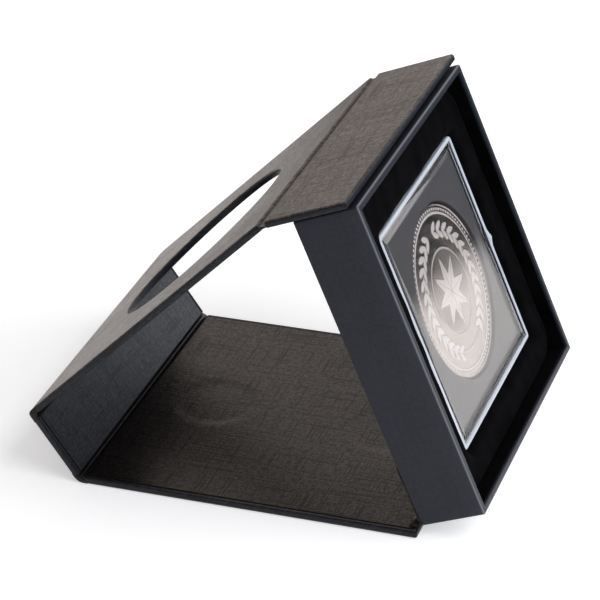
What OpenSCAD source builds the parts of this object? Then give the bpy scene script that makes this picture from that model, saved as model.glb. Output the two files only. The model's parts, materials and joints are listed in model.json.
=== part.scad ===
// Coin presentation box, set up as a stand.
// Four wrapped boards (base, spine, lid and flap) fold around a tray, hinged on the base's front edge.
// The raised tray leans back and carries the flap on its top wall.
// A coin in a square capsule sits in the tray's insert.
// Origin at the centre of the base's underside, X towards the tray's hinge, Z up. Millimetres.

/* [Tray] */
// Length of the tray from its hinged edge to the opposite wall
tray_length = 71; // [66:0.5:90]
// Width of the tray along the hinge
tray_width = 71; // [66:0.5:90]
// Depth of the tray from its floor to its rim
tray_depth = 14.5; // [13:0.25:22]
// Thickness of the tray's wall and floor boards
wall_board = 1.2; // [1:0.1:2]
// Thickness of the velvet
velvet = 0.4; // [0.3:0.05:0.8]

/* [Cover] */
// Thickness of the cover boards
board = 1.2; // [1:0.1:2.4]
// Thickness of the outer wrapping paper
paper = 0.2; // [0.15:0.05:0.4]
// Thickness of the inner liner
liner = 0.2; // [0.15:0.05:0.5]
// How far the cover stands out beyond each side of the tray
side_margin = 1.75; // [1:0.25:4]
// How much longer the base is than the tray
base_margin = 4.25; // [3.25:0.25:6]
// How much longer the lid is than the tray
lid_margin = 4.2; // [2:0.1:6]
// How much longer the flap is than the tray is deep
flap_margin = 4.8; // [3.5:0.1:8]
// Width of the wrap's turned-in edge that the liner leaves showing
turn_in = 1; // [0.8:0.1:3]
// Diameter of the round window in the lid
window_d = 45; // [36:0.5:56]

/* [Stand] */
// Angle between the raised tray's floor and the base
tilt = 68.6; // [62:0.1:74]
// How far the lid and flap fold lies behind the tray's floor
flap_behind = 6; // [4:0.1:8]
// Clearance between the flap and the tray's top wall
flap_room = 0.5; // [0.3:0.05:0.9]

/* [Magnets] */
// Diameter of the closing magnets in flap and tray walls
magnet_d = 8; // [6:0.5:8.5]
// Diameter of the magnets in the base and of the discs in the tray's floor
base_magnet_d = 18; // [12:0.5:20]
// Thickness of all magnets and discs
magnet_t = 0.8; // [0.5:0.1:0.9]
// Distance between the two magnets of a pair along the hinge
magnet_pitch = 40; // [24:1:46]
// Distance between the base's two magnets, front to back
base_magnet_pitch = 40; // [30:1:42]
// Distance of a wall magnet's edge from the tray's floor board
magnet_edge = 0.5; // [0.3:0.1:1.5]

/* [Insert] */
// Depth of the insert's face below the tray's rim
insert_drop = 2.7; // [2:0.1:4]
// Radius of the insert's upright corners
insert_corner = 6; // [3:0.5:9]
// Radius of the soft edge around the recess
insert_edge = 4; // [2:0.25:4.5]

/* [Capsule] */
// Side of the square coin capsule
capsule_side = 50; // [46:0.5:51]
// Thickness of the closed capsule
capsule_t = 6.25; // [5.75:0.05:7]
// Radius of the capsule's corners
capsule_corner = 1; // [0.6:0.1:4]
// Thickness of the capsule's face plates
capsule_plate = 1.2; // [0.8:0.1:1.4]
// Thickness of the capsule's side walls
capsule_wall = 1.3; // [1:0.1:1.6]
// Depth of the capsule's face below the tray's rim
capsule_drop = 3.8; // [3.2:0.1:4.4]
// Play of the capsule in its recess, to each side
capsule_play = 1; // [0.3:0.1:1.5]

/* [Coin] */
// Diameter of the coin
coin_d = 38; // [30:0.5:40]
// Thickness of the coin at its rim
coin_t = 2.6; // [2:0.1:3]
// Width of the coin's raised rim
coin_rim = 1.1; // [0.8:0.1:2]
// Height of the coin's rim and relief above its field
relief = 0.25; // [0.15:0.05:0.4]
// Number of beads inside the rim
bead_count = 72; // [36:1:90]
// Number of leaves on each branch of the wreath
leaf_count = 8; // [5:1:10]

/* [Hidden] */
$fn = 64;
eps = 0.05;

// Cover panels
panel_t = paper + board + liner;
cover_width = tray_width + 2 * side_margin;
base_length = tray_length + base_margin;
lid_length = tray_length + lid_margin;
flap_length = tray_depth + flap_margin;
fold_room = 0.75;
fold_least = 1.1;
strip_t = paper + liner;

// Tray hinge, on the top of the base's front edge; the hinge leaf lies just off the axis
leaf_gap = 0.3;
hinge_leaf = 14;
hinge_x = base_length / 2;
hinge_z = panel_t + leaf_gap;
tray_lift = leaf_gap + paper;

// The spine is as high as the shut box: both panels, the tray on its hinge leaf and the room above it
lid_room = 0.2;
spine_length = 2 * panel_t + leaf_gap + tray_lift + tray_depth + lid_room;

// Directions along the raised tray's floor and out of it
tray_up = [-cos(tilt), sin(tilt)];
tray_out = [sin(tilt), cos(tilt)];

// Lid and flap fold, behind the raised tray's top; spine and lid meet where their lengths allow
flap_reach = tray_length + flap_room + panel_t;
spine_fold = [-base_length / 2, 0];
flap_fold = [hinge_x, hinge_z] + flap_reach * tray_up + (tray_lift - flap_behind) * tray_out;
fold_span = norm(flap_fold - spine_fold);
fold_dir = (flap_fold - spine_fold) / fold_span;
along = (spine_length ^ 2 - lid_length ^ 2 + fold_span ^ 2) / (2 * fold_span);
aside = sqrt(spine_length ^ 2 - along ^ 2);
lid_fold = spine_fold + along * fold_dir + aside * [-fold_dir.y, fold_dir.x];

// Directions of the panels, and the inner angles at the folds
spine_angle = atan2(lid_fold.y - spine_fold.y, lid_fold.x - spine_fold.x);
lid_angle = atan2(flap_fold.y - lid_fold.y, flap_fold.x - lid_fold.x);
flap_angle = 90 - tilt;
spine_fold_angle = spine_angle;
lid_fold_angle = 180 - spine_angle + lid_angle;
flap_fold_angle = 180 - lid_angle + flap_angle;

// Distance that the boards keep from a fold, so that their inner edges clear
function fold_gap(angle) = max(panel_t / tan(angle / 2) + fold_room, fold_least);
spine_gap = fold_gap(spine_fold_angle);
lid_gap = fold_gap(lid_fold_angle);
flap_gap = fold_gap(flap_fold_angle);

// The window is in the middle of the lid
window_at = lid_length / 2;

// Tray
wall_t = paper + wall_board + velvet;
floor_top = paper + wall_board;
wall_magnet_at = floor_top + magnet_edge + magnet_d / 2;
flap_magnet_at = wall_magnet_at + flap_behind;
pocket_fit = 0.1;
impression = 0.12;

// Insert and capsule
insert_gap = 0.2;
insert_side = tray_length - 2 * (wall_t + insert_gap);
insert_width = tray_width - 2 * (wall_t + insert_gap);
insert_top = tray_depth - insert_drop;
recess_side = capsule_side + 2 * capsule_play;
recess_corner = capsule_corner + capsule_play;
capsule_at = tray_depth - capsule_drop - capsule_t;
capsule_rest = 0.05;
capsule_touch = 0.1;
capsule_sink = capsule_play - capsule_touch;
recess_floor = capsule_at - capsule_rest;
insert_cover = velvet;

// Capsule halves meet at mid height, with a lip inside
capsule_part = capsule_t / 2;
capsule_seam = 0.02;
half_h = capsule_part - capsule_seam;
lip_t = 0.7;
lip_h = 1;
lip_fit = 0.05;
lip_top = capsule_part - capsule_plate + lip_h;
lip_side = capsule_side - 2 * capsule_wall;
least_corner = 0.3;
inner_corner = max(capsule_corner - capsule_wall, least_corner);
inlay_fit = 0.2;
inlay_play = 0.1;
inlay_side = lip_side - 2 * (lip_t + inlay_fit);
inlay_corner = max(inner_corner - lip_t, least_corner);
inlay_t = capsule_t - 2 * (capsule_plate + inlay_play);

// Coin
coin_at = capsule_t / 2 - coin_t / 2;
coin_fit = 0.15;
coin_bevel = 0.15;
rim_slope = 0.1;
field_r = coin_d / 2 - coin_rim;
bead_d = 0.7;
bead_inset = 0.75;
bead_r = field_r - bead_inset;
wreath_leaf = 4.2;
wreath_leaf_w = 1.5;
wreath_inset = 6.3;
wreath_r = field_r - wreath_inset;
branch_start = -78;
branch_sweep = 130;
leaf_turn = 28;
star_inset = 5.2;
star_r = wreath_r - star_inset;

// Thumb tab on the capsule's front plate
tab_length = 6;
tab_t = 0.5;
tab_root = 0.2;

// Places. A panel's own X runs from its fold, its outer face is z = 0 and its inside lies below.
module place_base() {
    translate([spine_fold.x, 0, 0])
        mirror([0, 0, 1])
            children();
}

module place_panel(fold, angle) {
    translate([fold.x, 0, fold.y])
        rotate([0, -angle, 0])
            children();
}

module place_spine() {
    place_panel(spine_fold, spine_angle)
        children();
}

module place_lid() {
    place_panel(lid_fold, lid_angle)
        children();
}

module place_flap() {
    place_panel(flap_fold, flap_angle)
        children();
}

// The tray's own X runs up from its hinged edge, Z from its floor to its rim
module place_tray() {
    translate([hinge_x, 0, hinge_z])
        rotate([0, tilt, 0])
            rotate([0, 0, 180])
                translate([0, 0, tray_lift])
                    children();
}

// The capsule has slipped down to the recess's lower side
module place_capsule() {
    place_tray()
        translate([tray_length / 2 - capsule_sink, 0, capsule_at])
            children();
}

// Shapes
module rounded_square(size, r) {
    square([size.x - 2 * r, size.y], center = true);
    square([size.x, size.y - 2 * r], center = true);
    for (x = [-1, 1], y = [-1, 1])
        translate([x * (size.x / 2 - r), y * (size.y / 2 - r)])
            circle(r);
}

module rounded_plate(size, r, h) {
    linear_extrude(height = h)
        rounded_square(size, r);
}

// A box from x0 to x1, centred across, between two heights
module slab(x0, x1, width, z0, z1) {
    translate([x0, -width / 2, z0])
        cube([x1 - x0, width, z1 - z0]);
}

// Wrap of a panel: outer face, edges and turned-in border; an end at a fold stays open
module panel_wrap(x0, x1, start_closed, end_closed) {
    inner0 = start_closed ? x0 + paper : x0 - eps;
    inner1 = end_closed ? x1 - paper : x1 + eps;
    border0 = start_closed ? x0 + turn_in : x0 - eps;
    border1 = end_closed ? x1 - turn_in : x1 + eps;
    difference() {
        slab(x0, x1, cover_width, -(2 * paper + board), 0);
        slab(inner0, inner1, cover_width - 2 * paper, -(paper + board), -paper);
        slab(border0, border1, cover_width - 2 * turn_in,
            -(2 * paper + board) - eps, -(paper + board) + eps);
    }
}

module panel_board(x0, x1, start_closed, end_closed) {
    slab(start_closed ? x0 + paper : x0, end_closed ? x1 - paper : x1, cover_width - 2 * paper,
        -(paper + board), -paper);
}

module panel_liner(x0, x1, start_closed, end_closed) {
    slab(start_closed ? x0 + turn_in : x0, end_closed ? x1 - turn_in : x1, cover_width - 2 * turn_in,
        -panel_t, -(paper + board));
}

// Paper bent over a fold: two legs on the panels' outer faces, the second turned by the fold's angle
module fold_strip(gap, turn) {
    leg = gap - eps;
    corner = strip_t * tan(turn / 2);
    rotate([90, 0, 0])
        linear_extrude(height = cover_width, center = true)
            polygon([
                [-leg, 0], [0, 0], leg * [cos(turn), -sin(turn)],
                leg * [cos(turn), -sin(turn)] - strip_t * [sin(turn), cos(turn)],
                [-corner, -strip_t], [-leg, -strip_t]
            ]);
}

module disc_pair(pitch, d, t) {
    for (y = [-1, 1])
        translate([0, y * pitch / 2, 0])
            cylinder(d = d, h = t);
}

// Base
module base_discs(d, t) {
    for (x = [-1, 1])
        translate([base_length / 2 + x * base_magnet_pitch / 2, 0, -(paper + board)])
            cylinder(d = d, h = t);
}

module base_board() {
    color([0.42, 0.38, 0.33])
        place_base()
            difference() {
                panel_board(spine_gap, base_length, false, true);
                base_discs(base_magnet_d + 2 * pocket_fit, magnet_t);
            }
}

module base_wrap() {
    color([0.09, 0.09, 0.1])
        place_base()
            panel_wrap(spine_gap, base_length, false, true);
}

// The liner sinks a little over each magnet
module base_liner() {
    color([0.12, 0.11, 0.1])
        place_base()
            difference() {
                panel_liner(spine_gap, base_length, false, true);
                translate([0, 0, -liner - impression])
                    base_discs(base_magnet_d, 2 * impression);
            }
}

module base_magnets() {
    color([0.7, 0.7, 0.72])
        place_base()
            base_discs(base_magnet_d, magnet_t);
}

// The strip starts on the base's underside and turns up onto the spine
module spine_fold_strip() {
    color([0.09, 0.09, 0.1])
        place_panel(spine_fold, 180)
            fold_strip(spine_gap, 180 - spine_fold_angle);
}

// Spine
module spine_board() {
    color([0.42, 0.38, 0.33])
        place_spine()
            panel_board(spine_gap, spine_length - lid_gap, false, false);
}

module spine_wrap() {
    color([0.1, 0.1, 0.11])
        place_spine()
            panel_wrap(spine_gap, spine_length - lid_gap, false, false);
}

module spine_liner() {
    color([0.13, 0.13, 0.14])
        place_spine()
            panel_liner(spine_gap, spine_length - lid_gap, false, false);
}

module lid_fold_strip() {
    color([0.1, 0.1, 0.11])
        place_panel(lid_fold, spine_angle)
            fold_strip(lid_gap, 180 - lid_fold_angle);
}

// Lid
module window_hole(d) {
    translate([window_at, 0, -panel_t - 1])
        cylinder(d = d, h = panel_t + 2, $fn = 128);
}

module lid_board() {
    color([0.42, 0.38, 0.33])
        place_lid()
            difference() {
                panel_board(lid_gap, lid_length - flap_gap, false, false);
                window_hole(window_d + 2 * paper);
            }
}

// The wrap turns in through the window and lines its edge
module lid_wrap() {
    color([0.2, 0.18, 0.17])
        place_lid()
            difference() {
                union() {
                    panel_wrap(lid_gap, lid_length - flap_gap, false, false);
                    translate([window_at, 0, -(paper + board)])
                        cylinder(d = window_d + 2 * paper, h = board + paper, $fn = 128);
                }
                window_hole(window_d);
            }
}

module lid_liner() {
    color([0.12, 0.12, 0.13])
        place_lid()
            difference() {
                panel_liner(lid_gap, lid_length - flap_gap, false, false);
                window_hole(window_d);
            }
}

module flap_fold_strip() {
    color([0.2, 0.18, 0.17])
        place_panel(flap_fold, lid_angle)
            fold_strip(flap_gap, 180 - flap_fold_angle);
}

// Flap
module flap_discs(d, t) {
    translate([flap_magnet_at, 0, -(paper + board)])
        disc_pair(magnet_pitch, d, t);
}

module flap_board() {
    color([0.42, 0.38, 0.33])
        place_flap()
            difference() {
                panel_board(flap_gap, flap_length, false, true);
                flap_discs(magnet_d + 2 * pocket_fit, magnet_t);
            }
}

module flap_wrap() {
    color([0.23, 0.21, 0.2])
        place_flap()
            panel_wrap(flap_gap, flap_length, false, true);
}

module flap_liner() {
    color([0.12, 0.12, 0.13])
        place_flap()
            panel_liner(flap_gap, flap_length, false, true);
}

module flap_magnets() {
    color([0.7, 0.7, 0.72])
        place_flap()
            flap_discs(magnet_d, magnet_t);
}

// Tray
module floor_discs(d, t) {
    for (x = [-1, 1])
        translate([base_length / 2 + x * base_magnet_pitch / 2, 0, paper + wall_board - t])
            cylinder(d = d, h = t);
}

module tray_floor() {
    color([0.42, 0.38, 0.33])
        place_tray()
            difference() {
                slab(paper, tray_length - paper, tray_width - 2 * paper, paper, floor_top);
                floor_discs(base_magnet_d + 2 * pocket_fit, magnet_t);
            }
}

// Magnets set into an end wall from the inside
module wall_discs(d, t) {
    translate([paper + wall_board - t, 0, wall_magnet_at])
        rotate([0, 90, 0])
            disc_pair(magnet_pitch, d, t);
}

module end_wall() {
    difference() {
        slab(paper, paper + wall_board, tray_width - 2 * paper, floor_top, tray_depth - paper);
        wall_discs(magnet_d + 2 * pocket_fit, magnet_t);
    }
}

module at_rear() {
    translate([tray_length, 0, 0])
        mirror([1, 0, 0])
            children();
}

module side_wall(side) {
    inset = tray_width / 2 - paper - wall_board / 2;
    translate([0, side * inset, 0])
        slab(floor_top, tray_length - floor_top, wall_board, floor_top, tray_depth - paper);
}

module tray_front_wall() {
    color([0.42, 0.38, 0.33])
        place_tray()
            end_wall();
}

module tray_rear_wall() {
    color([0.42, 0.38, 0.33])
        place_tray()
            at_rear()
                end_wall();
}

module tray_near_wall() {
    color([0.42, 0.38, 0.33])
        place_tray()
            side_wall(1);
}

module tray_far_wall() {
    color([0.42, 0.38, 0.33])
        place_tray()
            side_wall(-1);
}

module tray_wrap() {
    color([0.16, 0.17, 0.19])
        place_tray()
            difference() {
                slab(0, tray_length, tray_width, 0, tray_depth);
                slab(paper, tray_length - paper, tray_width - 2 * paper, paper, tray_depth - paper);
                slab(floor_top, tray_length - floor_top, tray_width - 2 * floor_top, paper, tray_depth + 1);
            }
}

module tray_hinge_leaf() {
    color([0.09, 0.09, 0.1])
        place_tray()
            slab(0, hinge_leaf, tray_width, -paper, 0);
}

module tray_lining() {
    color([0.03, 0.03, 0.04])
        place_tray()
            difference() {
                slab(floor_top, tray_length - floor_top, tray_width - 2 * floor_top,
                    floor_top, tray_depth - paper);
                slab(wall_t, tray_length - wall_t, tray_width - 2 * wall_t, floor_top - 1, tray_depth + 1);
            }
}

module tray_front_magnets() {
    color([0.7, 0.7, 0.72])
        place_tray()
            wall_discs(magnet_d, magnet_t);
}

module tray_rear_magnets() {
    color([0.7, 0.7, 0.72])
        place_tray()
            at_rear()
                wall_discs(magnet_d, magnet_t);
}

module tray_floor_discs() {
    color([0.6, 0.6, 0.62])
        place_tray()
            floor_discs(base_magnet_d, magnet_t);
}

// Insert. The material that the soft edge takes off, as a profile that starts at the recess's wall
module edge_profile(r) {
    difference() {
        translate([-eps, -r])
            square([r + eps, r + 1]);
        translate([r, -r])
            circle(r);
        translate([r, -r])
            square([1, r + 2]);
    }
}

module soft_edge(side, corner, r) {
    straight = side - 2 * corner;
    for (turn = [0, 90, 180, 270])
        rotate([0, 0, turn]) {
            translate([side / 2, straight / 2, 0])
                rotate([90, 0, 0])
                    linear_extrude(height = straight)
                        edge_profile(r);
            translate([side / 2 - corner, side / 2 - corner, 0])
                rotate_extrude(angle = 90)
                    translate([corner, 0])
                        edge_profile(r);
        }
}

// Cushion with the square recess and its soft edge; inset shrinks it evenly on every shown side
module cushion(inset) {
    top = insert_top - inset;
    side = recess_side + 2 * inset;
    corner = recess_corner + inset;
    translate([tray_length / 2, 0, 0])
        difference() {
            translate([0, 0, floor_top])
                rounded_plate([insert_side - 2 * inset, insert_width - 2 * inset], insert_corner - inset,
                    top - floor_top);
            translate([0, 0, recess_floor - inset])
                rounded_plate([side, side], corner, tray_depth);
            translate([0, 0, top])
                soft_edge(side, corner, insert_edge - inset);
        }
}

module insert_foam() {
    color([0.1, 0.1, 0.1])
        place_tray()
            cushion(insert_cover);
}

module insert_velvet() {
    color([0.03, 0.03, 0.04])
        place_tray()
            difference() {
                cushion(0);
                cushion(insert_cover);
            }
}

// Capsule
module capsule_shell(side, corner, h, plate, wall) {
    difference() {
        rounded_plate([side, side], corner, h);
        translate([0, 0, plate])
            rounded_plate([side - 2 * wall, side - 2 * wall], inner_corner, h);
    }
}

module capsule_lip(outer, t, h) {
    difference() {
        rounded_plate([outer, outer], inner_corner, h);
        translate([0, 0, -1])
            rounded_plate([outer - 2 * t, outer - 2 * t], inlay_corner, h + 2);
    }
}

module capsule_back() {
    color([0.85, 0.87, 0.9, 0.35])
        place_capsule()
            union() {
                capsule_shell(capsule_side, capsule_corner, half_h, capsule_plate, capsule_wall);
                translate([0, 0, capsule_plate])
                    capsule_lip(lip_side, lip_t, half_h - capsule_plate);
                translate([0, 0, capsule_plate])
                    capsule_lip(lip_side - 2 * lip_fit, lip_t - lip_fit, lip_top);
            }
}

module capsule_front() {
    color([0.85, 0.87, 0.9, 0.35])
        place_capsule()
            translate([0, 0, capsule_t])
                mirror([0, 0, 1])
                    union() {
                        capsule_shell(capsule_side, capsule_corner, half_h, capsule_plate, capsule_wall);
                        translate([-tab_length / 2, -capsule_side / 2 - tab_t, 0])
                            cube([tab_length, tab_t + tab_root, capsule_plate]);
                    }
}

module capsule_inlay() {
    color([0.12, 0.12, 0.13])
        place_capsule()
            translate([0, 0, capsule_plate + inlay_play])
                difference() {
                    rounded_plate([inlay_side, inlay_side], inlay_corner, inlay_t);
                    translate([0, 0, -1])
                        cylinder(d = coin_d + 2 * coin_fit, h = inlay_t + 2, $fn = 128);
                }
}

// Coin, with a plain design of its own: beads, a wreath of two branches and an eight-pointed star
module leaf(length, width) {
    r = (length ^ 2 + width ^ 2) / (4 * width);
    intersection() {
        translate([length / 2, r - width / 2])
            circle(r);
        translate([length / 2, width / 2 - r])
            circle(r);
    }
}

module wreath(radius, length, width) {
    step = branch_sweep / leaf_count;
    for (side = [0, 1])
        mirror([side, 0])
            for (i = [0:leaf_count - 1])
                rotate(branch_start + i * step)
                    translate([radius, 0])
                        for (tip = [90 - leaf_turn, 90 + leaf_turn])
                            rotate(tip)
                                leaf(length, width);
}

module star(points, r_long, r_short) {
    polygon([for (i = [0:2 * points - 1])
        let (r = i % 2 == 0 ? r_long : r_short, a = 180 * i / points)
        r * [cos(a), sin(a)]]);
}

module coin() {
    color([0.8, 0.79, 0.77])
        place_capsule()
            translate([0, 0, coin_at]) {
                rotate_extrude($fn = 128)
                    polygon([
                        [0, relief], [field_r, relief],
                        [field_r + rim_slope, 0], [coin_d / 2 - coin_bevel, 0],
                        [coin_d / 2, coin_bevel], [coin_d / 2, coin_t - coin_bevel],
                        [coin_d / 2 - coin_bevel, coin_t], [field_r + rim_slope, coin_t],
                        [field_r, coin_t - relief], [0, coin_t - relief]
                    ]);
                translate([0, 0, coin_t - relief - eps]) {
                    for (i = [0:bead_count - 1])
                        rotate([0, 0, 360 * i / bead_count])
                            translate([bead_r, 0, 0])
                                cylinder(d = bead_d, h = relief, $fn = 16);
                    linear_extrude(height = relief)
                        rotate(90)
                            star(8, star_r, star_r / 2);
                    linear_extrude(height = relief)
                        rotate(-90)
                            wreath(wreath_r, wreath_leaf, wreath_leaf_w);
                }
            }
}

base_board();
base_wrap();
base_liner();
base_magnets();
spine_fold_strip();
spine_board();
spine_wrap();
spine_liner();
lid_fold_strip();
lid_board();
lid_wrap();
lid_liner();
flap_fold_strip();
flap_board();
flap_wrap();
flap_liner();
flap_magnets();
tray_floor();
tray_front_wall();
tray_rear_wall();
tray_near_wall();
tray_far_wall();
tray_wrap();
tray_hinge_leaf();
tray_lining();
tray_front_magnets();
tray_rear_magnets();
tray_floor_discs();
insert_foam();
insert_velvet();
capsule_back();
capsule_inlay();
capsule_front();
coin();
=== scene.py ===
import json
from collections import namedtuple

import bmesh
import bpy
import numpy as np
from mathutils import Matrix


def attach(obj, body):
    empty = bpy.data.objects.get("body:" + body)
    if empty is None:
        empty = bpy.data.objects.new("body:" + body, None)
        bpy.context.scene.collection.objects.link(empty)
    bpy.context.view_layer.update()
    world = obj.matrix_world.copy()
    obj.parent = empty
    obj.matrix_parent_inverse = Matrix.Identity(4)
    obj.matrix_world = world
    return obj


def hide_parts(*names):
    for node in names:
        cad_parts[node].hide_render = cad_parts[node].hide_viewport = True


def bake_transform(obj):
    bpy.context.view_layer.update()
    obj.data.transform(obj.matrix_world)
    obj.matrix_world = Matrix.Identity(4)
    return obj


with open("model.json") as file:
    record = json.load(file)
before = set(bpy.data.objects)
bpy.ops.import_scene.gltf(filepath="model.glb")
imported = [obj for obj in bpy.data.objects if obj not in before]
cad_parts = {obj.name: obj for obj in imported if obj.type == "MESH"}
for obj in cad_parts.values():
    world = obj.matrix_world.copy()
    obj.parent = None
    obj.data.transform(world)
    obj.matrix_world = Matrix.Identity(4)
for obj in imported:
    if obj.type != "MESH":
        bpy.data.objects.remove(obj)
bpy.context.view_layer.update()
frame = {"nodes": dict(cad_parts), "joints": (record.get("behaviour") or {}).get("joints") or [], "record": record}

# Sizes of the box in millimetres, as in its solids
MM = 0.001
PAPER = 0.2
BOARD = 1.2
LINER = 0.2
VELVET = 0.4
PANEL = PAPER + BOARD + LINER
WALL = PAPER + BOARD
TRAY = 71.0
TRAY_DEPTH = 14.5
TRAY_LIFT = 0.5
HINGE_LEAF = 14.0
SIDE_MARGIN = 1.75
BASE_MARGIN = 4.25
LID_MARGIN = 4.2
FLAP_MARGIN = 4.8
COVER_WIDTH = TRAY + 2 * SIDE_MARGIN
BASE_LENGTH = TRAY + BASE_MARGIN
LID_LENGTH = TRAY + LID_MARGIN
FLAP_LENGTH = TRAY_DEPTH + FLAP_MARGIN
FOLD_ROOM = 0.75
LEAST_GAP = 1.1
TURN_IN = 1.0
WINDOW_D = 45.0
BASE_MAGNET_D = 18.0
BASE_MAGNET_PITCH = 40.0
INSERT_GAP = 0.2
INSERT_DROP = 2.7
INSERT_SIDE = TRAY - 2 * (WALL + VELVET + INSERT_GAP)
INSERT_TOP = TRAY_DEPTH - INSERT_DROP
INSERT_CORNER = 6.0
CAPSULE_SIDE = 50.0
CAPSULE_T = 6.25
CAPSULE_CORNER = 1.0
CAPSULE_PLATE = 1.2
CAPSULE_WALL = 1.3
CAPSULE_LIP = 0.7
CAPSULE_AT = 4.45
CAPSULE_SINK = 0.9
RECESS_FLOOR = 4.4
COIN_D = 38.0
COIN_T = 2.6
COIN_RELIEF = 0.25

# Sizes and counts that differ from the solids': a closer recess with a tighter edge, and a finer coin
RECESS_PLAY = 0.2
RECESS_SIDE = CAPSULE_SIDE + 2 * RECESS_PLAY
RECESS_CORNER = CAPSULE_CORNER + RECESS_PLAY
INSERT_EDGE = 2.2
COIN_RIM = 0.7
BEADS = 96
BEAD_R = 0.3
RAYS = 96
LEAVES = 13
LEAF_LENGTH = 3.4
LEAF_WIDTH = 1.25
STAR_POINTS = 8
STAR_R = 8.4
MILLS = 120
MILL_DEPTH = 0.05

# Places: a panel's own x runs from its fold, y across and z out of its outer face
Spot = namedtuple("Spot", "origin along across out")
X, Y, Z = np.eye(3)
UPRIGHT = Spot(np.zeros(3), X, Y, Z)
joints = {joint["name"]: joint for joint in frame["joints"]}


def fold(joint):
    """The fold or hinge line's place in the XZ plane, in millimetres."""
    return np.array(joints[joint]["pos_m"])[[0, 2]] / MM


def in_space(pair):
    """A place or direction of the XZ plane in space."""
    return np.array([pair[0], 0, pair[1]])


def panel_spot(start, along):
    """A panel that starts at a fold and runs along a direction; out is that direction turned left by a quarter."""
    x, z = along / np.linalg.norm(along)
    return Spot(in_space(start), in_space((x, z)), Y, in_space((-z, x)))


spine_fold, lid_fold, flap_fold = fold("spine_hinge"), fold("lid_hinge"), fold("flap_hinge")
tray_hinge = fold("tray_hinge")
tray_out = np.array(joints["capsule_lift"]["axis"])
tray_up = np.array([-tray_out[2], 0, tray_out[0]])
base_spot = Spot(np.array([spine_fold[0], 0, 0]), X, Y, -Z)
spine_spot = panel_spot(spine_fold, lid_fold - spine_fold)
lid_spot = panel_spot(lid_fold, flap_fold - lid_fold)
flap_spot = panel_spot(flap_fold, tray_out[[0, 2]])
tray_spot = Spot(in_space(tray_hinge) + TRAY_LIFT * tray_out, tray_up, -Y, tray_out)
SPINE_LENGTH = np.linalg.norm(lid_fold - spine_fold)


def fold_gap(first, second):
    """How far two folded panels end from their fold, so that their inner edges just clear each other."""
    opened = np.pi - np.arccos(first.out @ second.out)
    return max(PANEL / np.tan(opened / 2) + FOLD_ROOM, LEAST_GAP)


SPINE_GAP = fold_gap(base_spot, spine_spot)
LID_GAP = fold_gap(spine_spot, lid_spot)
FLAP_GAP = fold_gap(lid_spot, flap_spot)


# Shader nodes
def fill(tree, made, sockets):
    """Values for a node's inputs: each is a constant or another node's output."""
    for name, value in sockets.items():
        if isinstance(value, bpy.types.NodeSocket):
            tree.links.new(value, made.inputs[name])
        else:
            made.inputs[name].default_value = value


def node(tree, kind, sockets=None, **settings):
    """One shader node with its settings and the values of its inputs."""
    made = tree.nodes.new("ShaderNode" + kind)
    for name, value in settings.items():
        setattr(made, name, value)
    fill(tree, made, sockets or {})
    return made


def use(tree, name, **sockets):
    """A node group placed in a material with its own values."""
    return node(tree, "Group", sockets, node_tree=bpy.data.node_groups[name]).outputs


def sums(tree, operation, a, b=0.0, c=0.0):
    """A Math node's result."""
    return node(tree, "Math", {0: a, 1: b, 2: c}, operation=operation).outputs[0]


def ranged(tree, value, low=0.0, high=1.0, to_low=0.0, to_high=1.0, soft=False):
    """A value carried from one range to another and kept inside it; soft eases it in and out."""
    ends = {"Value": value, "From Min": low, "From Max": high, "To Min": to_low, "To Max": to_high}
    return node(tree, "MapRange", ends, interpolation_type="SMOOTHSTEP" if soft else "LINEAR").outputs[0]


def mixed(tree, share, first, second):
    """A colour between two by a share; each is three numbers or a node's output."""
    a, b = (c if isinstance(c, bpy.types.NodeSocket) else (*c, 1) for c in (first, second))
    return node(tree, "Mix", {"Factor": share, "A": a, "B": b}, data_type="RGBA").outputs["Result"]


def stretched_noise(tree, place, scale, detail=2.0, rough=0.5):
    """Noise on a place stretched by a scale for each axis."""
    stretched = node(tree, "Mapping", {"Vector": place, "Scale": scale}).outputs[0]
    values = {"Vector": stretched, "Scale": 1.0, "Detail": detail, "Roughness": rough}
    return node(tree, "TexNoise", values).outputs[0]


def bumped(tree, height, strength, depth):
    """A normal bent by a height, whose depth is in millimetres."""
    return node(tree, "Bump", {"Height": height, "Strength": strength, "Distance": depth * MM}).outputs[0]


def object_place(tree):
    """The object's own coordinates."""
    return node(tree, "TexCoord").outputs["Object"]


# Node groups
def group(name, outputs, **numbers):
    """An empty node group with a place and named numbers as inputs, and number outputs."""
    tree = bpy.data.node_groups.new(name, "ShaderNodeTree")
    tree.interface.new_socket("Place", in_out="INPUT", socket_type="NodeSocketVector")
    for label, default in numbers.items():
        tree.interface.new_socket(label, in_out="INPUT", socket_type="NodeSocketFloat").default_value = default
    for label in outputs:
        tree.interface.new_socket(label, in_out="OUTPUT", socket_type="NodeSocketFloat")
    return tree, tree.nodes.new("NodeGroupInput").outputs, tree.nodes.new("NodeGroupOutput")


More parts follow.
